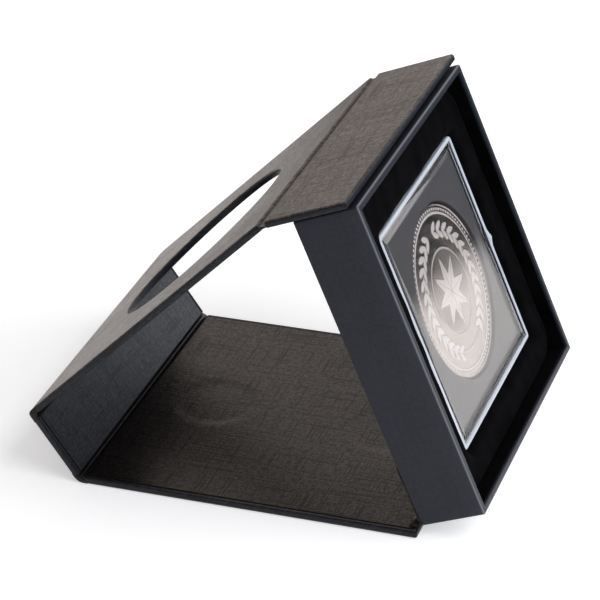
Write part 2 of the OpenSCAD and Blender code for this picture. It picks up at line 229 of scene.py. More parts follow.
def linen_group():
    """Embossed linen: short fine threads that cross, and a few long pressed lines along them. Each set is noise
    stretched along its threads; the lines are the part of it above a high level."""
    tree, given, end = group("linen_emboss", ["Height"], Threads=1.0)
    per_mm = sums(tree, "DIVIDE", given["Threads"], MM)
    place = node(tree, "VectorMath", {0: given["Place"], "Scale": per_mm}, operation="SCALE").outputs[0]

    def level(scale, low, high, detail):
        return ranged(tree, stretched_noise(tree, place, scale, detail), low, high)

    fine = sums(tree, "MINIMUM", level((2.2, 0.55, 1), 0.32, 0.58, 1.0), level((0.55, 2.2, 1), 0.32, 0.58, 1.0))
    lines = sums(tree, "MAXIMUM", level((2.3, 0.06, 1), 0.56, 0.72, 0.0), level((0.05, 1.7, 1), 0.54, 0.72, 0.0))
    raised = sums(tree, "MULTIPLY_ADD", fine, 0.75, 0.25)
    kept = sums(tree, "MULTIPLY_ADD", lines, -0.6, 1.0)
    fill(tree, end, {"Height": sums(tree, "MULTIPLY", raised, kept)})


def handling_group():
    """Handling: broad soft patches where the finish is a little duller, and sparse pale specks of dust."""
    tree, given, end = group("handling", ["Patches", "Specks"])
    place = given["Place"]
    broad = stretched_noise(tree, place, (60, 60, 60), 3.0)
    cells = node(tree, "TexVoronoi", {"Vector": place, "Scale": 420.0, "Randomness": 1.0}).outputs[0]
    small = ranged(tree, cells, 0.03, 0.08, 1.0, 0.0)
    rare = ranged(tree, stretched_noise(tree, place, (150, 150, 150), 1.0), 0.6, 0.7)
    fill(tree, end, {"Patches": ranged(tree, broad, 0.3, 0.7), "Specks": sums(tree, "MULTIPLY", small, rare)})


def pile_group():
    """Velvet pile: fine grain, with broad strokes where the nap lies the other way."""
    tree, given, end = group("velvet_pile", ["Height", "Nap"])
    grain = stretched_noise(tree, given["Place"], (5200, 5200, 5200), 2.0, 0.6)
    strokes = stretched_noise(tree, given["Place"], (110, 260, 160), 3.0)
    fill(tree, end, {"Height": grain, "Nap": ranged(tree, strokes, 0.35, 0.72)})


linen_group()
handling_group()
pile_group()


# Materials
def material(name):
    """A new node material: itself, its tree and its Principled shader."""
    made = bpy.data.materials.new(name)
    made.use_nodes = True
    return made, made.node_tree, made.node_tree.nodes["Principled BSDF"]


def linen_paper(name, dark, light, emboss, rough, shine, tint, hollow=0.1, threads=1.0, painted_highlight=None):
    """Coloured paper with a varnished linen emboss: the raised threads carry the gloss, and the pressed lines between
    them are darker and keep only a share of it, the hollow. Handling dulls it in patches, and edges marked by a
    point attribute of the piece turn paler: a painted highlight, where light catches them."""
    made, tree, shader = material(name)
    place = node(tree, "UVMap").outputs[0]
    linen = use(tree, "linen_emboss", Place=place, Threads=threads)["Height"]
    marks = use(tree, "handling", Place=place)
    colour = mixed(tree, sums(tree, "MULTIPLY_ADD", marks["Specks"], 0.6, linen), dark, light)
    # Painted highlight: where the attribute marks an edge, the colour turns paler.
    if painted_highlight:
        colour = mixed(tree, node(tree, "Attribute", attribute_name="painted_highlight").outputs["Fac"], colour, painted_highlight)
    fill(tree, shader, {
        "Base Color": colour,
        "Roughness": sums(tree, "MULTIPLY_ADD", marks["Patches"], 0.08, rough),
        "Specular IOR Level": 0.14,
        "Specular Tint": (*tint, 1),
        "Coat Weight": ranged(tree, linen, to_low=hollow * shine, to_high=shine),
        "Coat Roughness": rough,
        "Normal": bumped(tree, linen, emboss, 0.08)})
    return made


def velvet_cloth(name):
    """Black velvet: hardly any colour, a soft sheen and a nap that lies in strokes."""
    made, tree, shader = material(name)
    pile = use(tree, "velvet_pile", Place=object_place(tree))
    fill(tree, shader, {
        "Base Color": mixed(tree, pile["Nap"], (0.0007, 0.0007, 0.0009), (0.0022, 0.0022, 0.0026)),
        "Roughness": 0.95,
        "Specular IOR Level": 0.05,
        "Sheen Weight": 0.008,
        "Sheen Roughness": 0.3,
        "Sheen Tint": (0.75, 0.78, 0.9, 1),
        "Normal": bumped(tree, pile["Height"], 0.6, 0.15)})
    return made


def clear_plastic(name):
    """Clear moulded plastic with faint scuffs in its gloss; light passes it without a shadow."""
    made, tree, shader = material(name)
    scuffs = use(tree, "handling", Place=object_place(tree))["Patches"]
    fill(tree, shader, {
        "Base Color": mixed(tree, scuffs, (0.99, 0.98, 0.97), (0.96, 0.95, 0.94)),
        "Roughness": ranged(tree, scuffs, to_high=0.03),
        "Transmission Weight": 1.0,
        "IOR": 1.49})
    shadow = node(tree, "LightPath").outputs["Is Shadow Ray"]
    through = node(tree, "BsdfTransparent").outputs[0]
    both = node(tree, "MixShader", {"Fac": shadow, 1: shader.outputs[0], 2: through})
    fill(tree, tree.nodes["Material Output"], {"Surface": both.outputs[0]})
    return made


def plastic_edge_highlight(name):
    """Moulded edge of the clear plastic, half clear, with faint flow marks. It is paler and bluer than the plates: a
    painted highlight for the light that the plates lead to the edge and that it scatters."""
    made, tree, shader = material(name)
    flow = stretched_noise(tree, object_place(tree), (250, 90, 250))
    fill(tree, shader, {
        "Base Color": mixed(tree, flow, (0.55, 0.6, 0.7), (0.8, 0.84, 0.92)),
        "Roughness": ranged(tree, flow, to_low=0.1, to_high=0.25),
        "Transmission Weight": 0.45,
        "IOR": 1.57})
    return made


def foam_sheet(name, dark, light):
    """Closed-cell foam: small cells in its colour and its surface."""
    made, tree, shader = material(name)
    cells = node(tree, "TexVoronoi", {"Vector": object_place(tree), "Scale": 3200.0}).outputs[0]
    fill(tree, shader, {
        "Base Color": mixed(tree, cells, dark, light),
        "Roughness": 0.85,
        "Normal": bumped(tree, cells, 0.3, 0.05)})
    return made


def grey_board(name):
    """Grey board: pulp flecks and a rough cut."""
    made, tree, shader = material(name)
    flecks = stretched_noise(tree, object_place(tree), (1400, 1400, 700), 4.0, 0.7)
    fill(tree, shader, {
        "Base Color": mixed(tree, flecks, (0.12, 0.105, 0.09), (0.26, 0.235, 0.2)),
        "Roughness": 0.9,
        "Normal": bumped(tree, flecks, 0.4, 0.08)})
    return made


def magnet_steel(name):
    """Nickel-plated disc with fine turning marks."""
    made, tree, shader = material(name)
    marks = stretched_noise(tree, object_place(tree), (900, 900, 9000))
    fill(tree, shader, {
        "Base Color": mixed(tree, marks, (0.5, 0.5, 0.5), (0.66, 0.65, 0.63)),
        "Roughness": ranged(tree, marks, to_low=0.22, to_high=0.4),
        "Metallic": 1.0})
    return made


def struck_silver(name):
    """Struck silver: a polished field, and a frosted relief, marked by the piece's own frost attribute, that scatters
    light."""
    made, tree, shader = material(name)
    place = object_place(tree)
    frost = node(tree, "Attribute", attribute_name="frost").outputs["Fac"]
    grain = stretched_noise(tree, place, (7000, 7000, 7000))
    polish = ranged(tree, use(tree, "handling", Place=place)["Patches"], to_low=0.1, to_high=0.16)
    fill(tree, shader, {
        "Base Color": mixed(tree, frost, (0.5, 0.466, 0.452), (0.74, 0.7, 0.685)),
        "Roughness": sums(tree, "MULTIPLY_ADD", frost, 0.26, polish),
        "Metallic": sums(tree, "MULTIPLY_ADD", frost, -0.45, 1.0),
        "Normal": bumped(tree, sums(tree, "MULTIPLY", grain, frost), 0.25, 0.02)})
    return made


WHITE = (1.0, 1.0, 1.0)
WARM = (1.0, 0.88, 0.82)
COOL = (0.9, 0.95, 1.0)
wrap_paper = linen_paper("black_linen_wrap", (0.0085, 0.007, 0.0064), (0.057, 0.0488, 0.0455),
                         emboss=0.4, rough=0.32, shine=0.6, tint=WARM, hollow=0.0)
liner_paper = linen_paper("black_linen_liner", (0.0003, 0.0003, 0.0003), (0.007, 0.0052, 0.0045),
                          emboss=0.45, rough=0.28, shine=0.56, tint=WARM, hollow=0.0, threads=1.2)
# Painted light: the spine's inside is the same liner paper, and this lit copy is bluer and glossier than the liner.
lit_spine_liner = linen_paper("black_linen_liner_lit_spine", (0.0003, 0.0003, 0.0004), (0.0105, 0.011, 0.0138),
                          emboss=0.4, rough=0.28, shine=1.0, tint=COOL, hollow=0.4, threads=1.2)
# Painted shade: the panels' edges are the wrap's own paper, and this copy of it is darker and bluer.
shaded_edge_paper = linen_paper("black_linen_wrap_shaded_edge", (0.003, 0.0034, 0.0046), (0.0105, 0.0122, 0.0168),
                         emboss=0.3, rough=0.34, shine=0.4, tint=COOL, hollow=0.3, threads=1.2)
# The tray paper's pale rim colour is a painted highlight along the rim's outer edge.
tray_paper = linen_paper("charcoal_tray_wrap", (0.0078, 0.0096, 0.015), (0.0095, 0.0116, 0.018),
                         emboss=0.05, rough=0.4, shine=0.36, tint=COOL, hollow=0.65, threads=1.3,
                         painted_highlight=(0.12, 0.125, 0.14))
hinge_paper = linen_paper("black_hinge_paper", (0.002, 0.0018, 0.0017), (0.016, 0.0132, 0.0118),
                          emboss=0.4, rough=0.4, shine=0.6, tint=WARM)
cut_paper = linen_paper("black_cut_paper", (0.001, 0.001, 0.001), (0.004, 0.0038, 0.0037),
                        emboss=0.2, rough=0.6, shine=0.1, tint=WARM)
velvet = velvet_cloth("black_velvet")
plastic = clear_plastic("clear_capsule")
# The capsule's edge material is a painted highlight, paler than the clear plates.
edge_highlight_plastic = plastic_edge_highlight("capsule_edge_painted_highlight")
silver = struck_silver("struck_silver")
paints = {
    "greyboard": grey_board("grey_board"), "wrap_paper": wrap_paper, "liner_paper": liner_paper,
    "tray_paper": tray_paper, "velvet": velvet, "clear_plastic": plastic, "silver": silver,
    "foam": foam_sheet("insert_core_foam", (0.02, 0.02, 0.02), (0.04, 0.04, 0.04)),
    "inlay": foam_sheet("capsule_inlay_foam", (0.052, 0.052, 0.056), (0.078, 0.078, 0.084)),
    "magnet_steel": magnet_steel("magnet_steel")}
for part in frame["record"]["subparts"]:
    slots = frame["nodes"][part["node"]].data.materials
    slots.clear()
    slots.append(paints[part["material_slot"]])

# Rows and points of the grids, and shares of the way from an outline to its middle
ARC_ROWS = 6
SIDE_POINTS = 40
CORNER_POINTS = 7
FACE = (0.004, 0.02, 0.35, 0.7, 1.0)


# Surfaces
def outline(x0, x1, width, corner, per_side=SIDE_POINTS, per_corner=CORNER_POINTS):
    """Closed outline of a rectangle with rounded corners: points and outward directions.
    Each corner is a quarter circle, and each side a row of evenly spaced points between two corners."""
    half = width / 2
    centres = np.array([[x1 - corner, half - corner], [x0 + corner, half - corner],
                        [x0 + corner, corner - half], [x1 - corner, corner - half]])
    turn = np.radians(np.linspace(0, 90, per_corner)[None] + 90 * np.arange(4)[:, None])
    outward = np.stack([np.cos(turn), np.sin(turn)], -1)
    arcs = centres[:, None] + corner * outward
    share = np.linspace(0, 1, per_side + 2)[1:-1, None]
    sides = arcs[:, None, -1] + (np.roll(arcs, -1, 0)[:, None, 0] - arcs[:, None, -1]) * share
    flat = np.repeat(outward[:, None, -1], per_side, 1)
    return np.concatenate([arcs, sides], 1).reshape(-1, 2), np.concatenate([outward, flat], 1).reshape(-1, 2)


def bend(inset, height, radius, start, stop, count=ARC_ROWS):
    """Rounded edge of a section: a circle's arc about (inset, height); 0 degrees faces out, 90 up and 180 in."""
    turn = np.radians(np.linspace(start, stop, count))
    return np.stack([inset - radius * np.cos(turn), height + radius * np.sin(turn)], -1)


def carried(rect, section):
    """A section carried round a rounded rectangle: each of its (inset, height) points draws the outline set in by the
    inset, its corners' radius smaller by as much, down to a small one, and lifts it to the height."""
    x0, x1, width, corner, *counts = rect
    least = min(corner, 0.1)
    flat = np.stack([outline(x0 + i, x1 - i, width - 2 * i, max(corner - i, least), *counts)[0] for i, _ in section])
    height = np.asarray(section)[:, 1, None, None]
    return np.concatenate([flat, np.broadcast_to(height, (*flat.shape[:2], 1))], -1)


def between(first, last, shares):
    """Rows that go from one row of points to another by the given shares."""
    return first[None] + (last - first)[None] * np.asarray(shares, float)[:, None, None]


def middle(row):
    """A row of points all at the middle of the given row."""
    return np.broadcast_to(row.mean(0), row.shape)


Patch = namedtuple("Patch", "rows loop ring trim", defaults=(True, False, 0))


def skin(name, patches, spot, body, paint, replaced, uv=None, edging=None):
    """Mesh over grids of points, in the place of a spot. Neighbours in a grid are joined by quads; loop closes each
    row, ring joins the last row to the first, and points that meet become one. A patch's first rows up to its trim,
    one number or one for each column, take the edging.
    UV is in metres, along and across the spot with the height added, unless it is given."""
    points, quads, edged = [], [], []
    for rows, loop, ring, trim in patches:
        index = sum(map(len, points)) + np.arange(rows[..., 0].size).reshape(rows.shape[:2])
        right = np.roll(index, -1, 1)
        faces = np.stack([index, right, np.roll(right, -1, 0), np.roll(index, -1, 0)], -1)
        faces = faces[:len(rows) if ring else -1, :rows.shape[1] if loop else -1]
        quads.append(faces.reshape(-1, 4))
        edged.append(np.broadcast_to(np.arange(len(faces))[:, None] < trim, faces.shape[:2]).ravel())
        points.append(rows.reshape(-1, 3))
    points = np.concatenate(points)
    world = spot.origin + points[:, :1] * spot.along + points[:, 1:2] * spot.across + points[:, 2:] * spot.out
    mesh = bpy.data.meshes.new(name)
    mesh.from_pydata((world * MM).tolist(), [], np.concatenate(quads).tolist())
    flat = points[:, :2] + points[:, 2:] if uv is None else uv.reshape(-1, 2)
    layer = mesh.uv_layers.new(name="UVMap")
    corners = np.empty(len(mesh.loops), np.int32)
    mesh.loops.foreach_get("vertex_index", corners)
    layer.data.foreach_set("uv", (flat[corners] * MM).astype(np.float32).ravel())
    mesh.polygons.foreach_set("material_index", np.concatenate(edged).astype(np.int32))
    work = bmesh.new()
    work.from_mesh(mesh)
    bmesh.ops.remove_doubles(work, verts=work.verts, dist=1e-7)
    bmesh.ops.recalc_face_normals(work, faces=work.faces)
    work.to_mesh(mesh)
    work.free()
    mesh.shade_smooth()
    for finish in (paint, edging) if edging else (paint,):
        mesh.materials.append(finish)
    piece = bpy.data.objects.new(name, mesh)
    bpy.context.scene.collection.objects.link(piece)
    if body:
        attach(piece, body)
    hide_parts(*replaced)
    return piece


# Edges of the cover in millimetres: radii, reach over a fold, the liner's bed and its setback at a fold, small gaps
EDGE = 0.38
ROUND = 0.55
CORNER = 0.5
LINER_EDGE = 0.12
LINER_CORNER = 0.4
OVER = 0.2
BED = PANEL - 0.35
BED_INSET = 0.3
BED_STEP = 0.1
SETBACK = 0.22
SINK = 0.05
HAIR = 0.02
INNER_WIDTH = COVER_WIDTH - 2 * TURN_IN


def panel_edge(x0, x1, open_ends):
    """Wrapped edge of a panel: an outline with a rounded edge from the inner face, a hair under the liner's, to the
    outer. At an open end, by a fold, the wrap isn't turned in and the inner face lies lower."""
    section = np.concatenate([bend(EDGE, EDGE + SINK - PANEL, EDGE, -90, 0), bend(ROUND, -ROUND, ROUND, 0, 90)])
    rows = carried((x0, x1, COVER_WIDTH, CORNER), section)
    by_fold = (rows[..., 0] < x0 + SETBACK) * open_ends[0] + (rows[..., 0] > x1 - SETBACK) * open_ends[1]
    rows[..., 2] = np.where(by_fold, np.maximum(rows[..., 2], -BED - HAIR), rows[..., 2])
    return rows


def edge_trim(x0, x1, open_ends):
    """How many rows of a panel's edge take the edging, for each point of its outline: the whole side and the start of
    its outer rounding, but only up to the inner edge where the panel ends in a fold."""
    touch = 0.01
    x = outline(x0, x1, COVER_WIDTH, CORNER)[0][:, 0]
    by_fold = (x < x0 + touch) & open_ends[0] | (x > x1 - touch) & open_ends[1]
    return np.where(by_fold, ARC_ROWS - 1, ARC_ROWS + 2)


def liner_bed(x0, x1):
    """Where a panel's inner face steps down under its liner."""
    rect = (x0 + BED_INSET, x1 - BED_INSET, INNER_WIDTH - 2 * BED_INSET, BED_INSET)
    return carried(rect, [[0, SINK - PANEL], [BED_STEP, -BED]])


def wrapped_panel(name, x0, x1, liner, spot, body, replaced, open_ends):
    """Board wrapped in paper: its edge, the outer face drawn in to the middle, and the inner one stepped down to the
    liner's bed."""
    edge, bed = panel_edge(x0, x1, open_ends), liner_bed(*liner)
    inner = np.concatenate([between(bed[1], middle(bed[1]), FACE)[::-1], bed[::-1]])
    rows = np.concatenate([inner, edge, between(edge[-1], middle(edge[-1]), FACE)])
    patch = Patch(rows, trim=len(inner) + edge_trim(x0, x1, open_ends))
    # The panel's sides take the darker, bluer copy of the wrap: painted shade.
    skin(name, [patch], spot, body, wrap_paper, replaced, edging=shaded_edge_paper)


def window_ring(section, points):
    """A section carried round the window, with one place for each point of an outline."""
    centre = np.array([LID_LENGTH / 2, 0])
    away = (points - centre) / np.linalg.norm(points - centre, axis=1)[:, None]
    section = np.asarray(section)[:, None]
    flat = centre + (WINDOW_D / 2 + section[..., :1]) * away
    return np.concatenate([flat, np.broadcast_to(section[..., 1:], (*flat.shape[:2], 1))], -1)


def windowed_panel(name, x0, x1, liner, spot, body, replaced, open_ends):
    """Board wrapped in paper with a round window: as a wrapped panel, but the faces are drawn in to the window's rim,
    which rolls over into the window and joins them through it. The window's wall takes the edging."""
    edge, bed = panel_edge(x0, x1, open_ends), liner_bed(*liner)
    rim = window_ring(np.concatenate([
        bend(EDGE, -EDGE, EDGE, 90, 0), bend(EDGE, EDGE + SINK - PANEL, EDGE, 0, -90),
        [[TURN_IN, SINK - PANEL], [TURN_IN + BED_STEP, -BED]]]), edge[0, :, :2])
    wall = ARC_ROWS - 2
    inner = np.concatenate([rim[wall:], between(rim[-1], bed[1], (0.3, 0.6)), bed[::-1]])
    outer = between(edge[-1], rim[0], (0.01, 0.05, 0.3, 0.6, 0.9, 0.99))
    rows = np.concatenate([inner, edge, outer, rim[:wall]])
    patch = Patch(rows, ring=True, trim=len(inner) + edge_trim(x0, x1, open_ends))
    # The panel's sides and the window's wall take the darker, bluer copy of the wrap: painted shade.
    skin(name, [patch], spot, body, wrap_paper, replaced, edging=shaded_edge_paper)


def pressed(x, y):
    """How far the base's liner sinks over its two magnets: a flat-bottomed round dip with a soft edge at each."""
    depth, softness = 0.16, 0.5
    dip = np.zeros_like(x)
    for side in (-1, 1):
        away = np.hypot(x - BASE_LENGTH / 2 - side * BASE_MAGNET_PITCH / 2, y)
        dip += 1 / (1 + np.exp((away - BASE_MAGNET_D / 2) / softness))
    return depth * dip


def liner_sheet(name, liner, spot, body, replaced, dip=None, window=False, paint=liner_paper):
    """Liner on a panel's inside: an outline with a thin rounded edge, drawn in to the middle or to the window; a dip
    sinks its face."""
    foot, rise, rim_inset, rings = -BED - 0.05, 0.03, 0.7, 70
    section = np.concatenate([[[0.05, foot]], bend(LINER_EDGE, LINER_EDGE - PANEL - rise, LINER_EDGE, 0, -90)])
    edge = carried((*liner, INNER_WIDTH, LINER_CORNER), section)
    if window:
        rim = window_ring([[rim_inset, foot], [rim_inset, -PANEL]], edge[0, :, :2])
        rows = np.concatenate([edge, between(edge[-1], rim[1], (0.01, 0.3, 0.6, 0.99)), rim[::-1]])
    else:
        rows = np.concatenate([edge, between(edge[-1], middle(edge[-1]), np.linspace(0.005, 1, rings))])
    if dip is not None:
        face = rows[len(edge):]
        face[..., 2] += dip(face[..., 0], face[..., 1])
    skin(name, [Patch(rows, trim=len(edge))], spot, body, paint, replaced, edging=cut_paper)


def parabola(first, corner, last, count):
    """Points of a parabola that leaves the first point towards a corner and reaches the last from there."""
    t = np.linspace(0, 1, count)[:, None]
    return (1 - t) ** 2 * first + 2 * t * (1 - t) * corner + t * t * last


def across_fold(flat, y):
    """Points of the XZ plane, one row for each place of a path, spread over places along the fold."""
    return np.stack([flat[..., 0], np.broadcast_to(y, flat.shape[:2]), flat[..., 1]], -1)


def fold_paper(name, point, first, second, gap, replaced, sunk, reach, deep, ridge):
    """Paper over a fold and what it wraps: the outer path runs under the two panels' faces, sunk by a depth for each,
    and turns on a parabola at the fold; the inner path goes from one panel's end to the other's over a ridge, a bell
    curve between two valleys; the ends close. The inner path and the ends take the liner's paper."""
    (d1, n1), (d2, n2) = first, second
    tuck, turns, leg_rows, columns, ridge_fade, ridge_width = 0.7, 25, 7, 30, 4, 0.23
    depth = sum(sunk) / 2
    corner = point - depth * (n1 + n2) / (1 + n1 @ n2)
    a = corner - reach * gap * d1 + (depth - sunk[0]) * n1
    b = corner + reach * gap * d2 + (depth - sunk[1]) * n2
    start, end = point - (gap + tuck) * d1 - sunk[0] * n1, point + (gap + tuck) * d2 - sunk[1] * n2
    inner1, inner2 = point - gap * d1 - deep * n1, point + gap * d2 - deep * n2
    low1, low2 = inner1 - tuck * d1, inner2 + tuck * d2
    t = np.linspace(0, 1, turns)[:-1, None]
    crest = inner2 + (inner1 - inner2) * t
    inwards = -(n1 + n2) / np.linalg.norm(n1 + n2)
    swell = ridge * np.exp(-((t - 0.5) / ridge_width) ** 2) * inwards
    leg = np.linspace(0, 1, leg_rows + 1)[:-1, None]
    ends = ((low2, inner2), (inner1, low1), (low1, start), (start, a), (b, end), (end, low2))
    legs = [p + (q - p) * leg for p, q in ends]
    loop = np.concatenate([legs[0], crest, *legs[1:4], parabola(a, corner, b, turns)[:-1], *legs[4:]])
    half = COVER_WIDTH / 2 - HAIR
    near_end = half - np.array([0, 0, 0.05, 0.2])
    y = np.array([*-near_end, *np.linspace(1 - half, half - 1, columns), *near_end[::-1]])
    shrunk = np.array([0, 0.96, 0.99, 1])
    share = np.array([*shrunk, *np.ones(columns), *shrunk[::-1]])[None, :, None]
    heart = (corner + (inner1 + inner2) / 2) / 2
    flat = heart + (loop - heart)[:, None] * share
    fade = np.clip((half - np.abs(y)) / ridge_fade, 0, 1)[None, :, None]
    flat[leg_rows:leg_rows + len(crest)] += swell[:, None] * fade
    rows = across_fold(flat, y)
    length = np.concatenate([[0], np.cumsum(np.linalg.norm(np.diff(loop, axis=0), axis=1))])
    uv = np.stack([np.broadcast_to(length[:, None], flat.shape[:2]), rows[..., 1]], -1)
    inside = np.full(len(y) - 1, len(crest) + 2 * leg_rows)
    inside[[0, 1, -2, -1]] = len(rows)
    patch = Patch(rows, loop=False, ring=True, trim=inside)
    piece = skin(name, [patch], UPRIGHT, None, wrap_paper, replaced, uv, liner_paper)
    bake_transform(piece)


def hinge_leaf():
    """Paper leaf that hinges the tray: its middle line lies on the base's inner edge, turns on a parabola and runs up
    under the tray's floor; the section, half the paper's thickness to each side of it, is carried along the hinge, and
    its ends close."""
    laid_reach, lifted_reach, rise, inset, columns = 0.6, 0.7, 0.03, 0.1, 24
    up, out = tray_up[[0, 2]], tray_out[[0, 2]]
    glued = tray_hinge + (TRAY_LIFT - PAPER / 2) * out
    level = PANEL + rise + PAPER / 2
    corner = glued + (level - glued[1]) / up[1] * up
    laid, lifted = np.array([tray_hinge[0] - laid_reach, level]), glued + lifted_reach * up
    on_base = laid + np.array([[-1.6, 0], [-0.8, 0]])
    on_tray = glued + np.array([[2], [6], [10], [HINGE_LEAF]]) * up
    line = np.concatenate([on_base, parabola(laid, corner, lifted, 17), on_tray])
    way = np.gradient(line, axis=0)
    side = way[:, ::-1] * np.array([-1, 1]) / np.linalg.norm(way, axis=1)[:, None] * PAPER / 2
    half = TRAY / 2 - inset
    y = np.array([-half, *np.linspace(-half, half, columns), half])
    share = np.array([0, *np.ones(columns), 0])[None, :, None]
    there_and_back = np.concatenate([line, line[::-1]])[:, None]
    flat = there_and_back + np.concatenate([side, -side[::-1]])[:, None] * share
    patch = Patch(across_fold(flat, y), loop=False, ring=True)
    piece = skin("tray_hinge_paper", [patch], UPRIGHT, None, hinge_paper, ["tray_hinge_leaf"])
    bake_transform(piece)


def leg_of(spot, sign=1):
    """A panel's direction and outward direction in the XZ plane."""
    return sign * spot.along[[0, 2]], spot.out[[0, 2]]


# Panels: place, gap to the fold that each starts from, length, and gap to the fold that it ends in, if any
panels = {"base": (base_spot, SPINE_GAP, BASE_LENGTH, None), "spine": (spine_spot, SPINE_GAP, SPINE_LENGTH, LID_GAP),
          "lid": (lid_spot, LID_GAP, LID_LENGTH, FLAP_GAP), "flap": (flap_spot, FLAP_GAP, FLAP_LENGTH, None)}
liners = {}
for name, (spot, gap, length, end_gap) in panels.items():
    folded = end_gap is not None
    x0, x1 = gap - OVER, length - end_gap + OVER if folded else length
    liners[name] = x0 + SETBACK, x1 - (SETBACK if folded else TURN_IN)
    make = windowed_panel if name == "lid" else wrapped_panel
    make(name + "_panel", x0, x1, liners[name], spot, name, [name + "_wrap"], open_ends=(True, folded))
# The spine's liner takes the lit copy of the liner paper, which is painted light.
choices = {"base": {"dip": pressed}, "spine": {"paint": lit_spine_liner}, "lid": {"window": True}, "flap": {}}
for name, choice in choices.items():
    liner_sheet(name + "_inside", liners[name], panels[name][0], name, [name + "_liner"], **choice)
fold_paper("spine_fold_paper", spine_fold, leg_of(base_spot, -1), leg_of(spine_spot), SPINE_GAP,
           ["spine_fold_strip"], sunk=(0.12, 0.12), reach=0.9, deep=1.0, ridge=0.7)
fold_paper("lid_fold_paper", lid_fold, leg_of(spine_spot), leg_of(lid_spot), LID_GAP,
           ["lid_fold_strip"], sunk=(0.12, 0.12), reach=0.5, deep=1.2, ridge=0.2)
fold_paper("flap_fold_paper", flap_fold, leg_of(lid_spot), leg_of(flap_spot), FLAP_GAP,
           ["flap_fold_strip"], sunk=(0.65, 1.1), reach=0.6, deep=1.3, ridge=0.05)
hinge_leaf()


# Tray, lining and insert
def local_points(piece, spot):
    """A piece's points along, across and out of a spot, in millimetres."""
    at = np.empty(len(piece.data.vertices) * 3)
    piece.data.vertices.foreach_get("co", at)
    away = at.reshape(-1, 3) / MM - spot.origin
    return away @ spot.along, away @ spot.across, away @ spot.out


def mark(piece, name, values):
    """A value for each point of a piece, which its material reads by name."""
    layer = piece.data.attributes.new(name, "FLOAT", "POINT")
    layer.data.foreach_set("value", values.astype(np.float32))


def tray_shell():
    """Tray's paper: from the middle of its underside out to a rounded edge, up the walls, over the rim and a little way
    in. Its UV is the underside as it lies, with the walls laid flat outwards from it. A pale line along the rim's
    outer edge, a bell curve, is a painted highlight where the edge catches light."""
    rim, inner, down_inside = 0.25, WALL + 0.06, 3
    highlight_at, highlight_width = 0.1, 0.16
    rect = (0, TRAY, TRAY, CORNER)
    section = np.concatenate([
        bend(EDGE, EDGE, EDGE, -90, 0), [[0, 0.6], [0, 5], [0, 10], [0, TRAY_DEPTH - EDGE - 0.1]],
        bend(EDGE, TRAY_DEPTH - EDGE, EDGE, 0, 90), bend(inner - rim, TRAY_DEPTH - rim, rim, 90, 180),
        [[inner, TRAY_DEPTH - down_inside]]])
    wall = carried(rect, section)
    under = between(wall[0], middle(wall[0]), FACE)[::-1]
    points, outward = outline(*rect)
    run = np.concatenate([[0], np.cumsum(np.linalg.norm(np.diff(section, axis=0), axis=1))]) - EDGE
    flat = np.concatenate([under[..., :2], points[None] + run[:, None, None] * outward[None]])
    patch = Patch(np.concatenate([under, wall]))
    piece = skin("tray_shell", [patch], tray_spot, "tray", tray_paper, ["tray_wrap"], flat)
    x, y, z = local_points(piece, tray_spot)
    inset = np.minimum(TRAY / 2 - np.abs(x - TRAY / 2), TRAY / 2 - np.abs(y))
    at_rim = np.clip((z - TRAY_DEPTH + 0.5) / 0.3, 0, 1)
    # Painted highlight: a pale line along the rim's outer edge, where it catches light.
    mark(piece, "painted_highlight", np.exp(-((inset - highlight_at) / highlight_width) ** 2) * at_rim)


def wall_lining():
    """Velvet on the tray's walls: one sheet that starts under the rim, rolls over and goes down to the floor."""
    roll, corner = 0.16, 0.9
    down = [[VELVET, z] for z in np.linspace(TRAY_DEPTH - 1, WALL + 0.05, 12)]
    section = np.concatenate([[[0.08, TRAY_DEPTH - 0.75]], bend(0.24, TRAY_DEPTH - 0.7, roll, 0, 180), down])
    rows = carried((WALL, TRAY - WALL, TRAY - 2 * WALL, corner), section)
    piece = skin("wall_lining", [Patch(rows)], tray_spot, "tray", velvet, ["tray_lining"])


def velvet_insert():
    """Padded insert: from under its side up to a rounded outer edge, across a flat face to the soft edge, down into the
    square recess and across its floor to the middle; slow ripples, three sines, move the face a little, and less below
    it."""
    counts, shoulder, sunk, still, moving = (36, 10), 1.5, 0.1, 7, 11
    centre = TRAY / 2 - CAPSULE_SINK
    outer = ((TRAY - INSERT_SIDE) / 2, (TRAY + INSERT_SIDE) / 2, INSERT_SIDE, INSERT_CORNER, *counts)
    recess = (centre - RECESS_SIDE / 2, centre + RECESS_SIDE / 2, RECESS_SIDE, RECESS_CORNER, *counts)
    side = carried(outer, np.concatenate([
        [[1.2, WALL + HAIR], [0, WALL + 0.5], [0, 5], [0, INSERT_TOP - shoulder - 0.1]],
        bend(shoulder, INSERT_TOP - shoulder, shoulder, 0, 90, 8)]))
    well = carried(recess, np.concatenate([
        bend(-INSERT_EDGE, INSERT_TOP - INSERT_EDGE, INSERT_EDGE, 90, 180, 12)[:-1],
        [[0, 8], [0, 6], [0, RECESS_FLOOR + 0.8], [0.2, RECESS_FLOOR + 0.2], [0.8, RECESS_FLOOR]]]))
    face = between(side[-1], well[0], np.linspace(0.1, 0.9, 6))
    floor = between(well[-1], middle(well[-1]), (0.02, 0.3, 0.6, 1.0))
    rows = np.concatenate([side, face, well, floor])
    x, y = rows[..., 0], rows[..., 1]
    ripple = 0.06 * np.sin(0.55 * x + 0.3 * y) + 0.05 * np.sin(0.23 * y - 0.71 * x + 1.3)
    ripple += 0.04 * np.sin(0.9 * y + 0.2 * x)
    by_height = np.clip((rows[..., 2] - still) / (moving - still), 0, 1)
    rows[..., 2] += by_height * (ripple - sunk)
    replaced = ["insert_foam", "insert_velvet"]
    piece = skin("velvet_insert", [Patch(rows)], tray_spot, "tray", velvet, replaced)


tray_shell()
wall_lining()
velvet_insert()

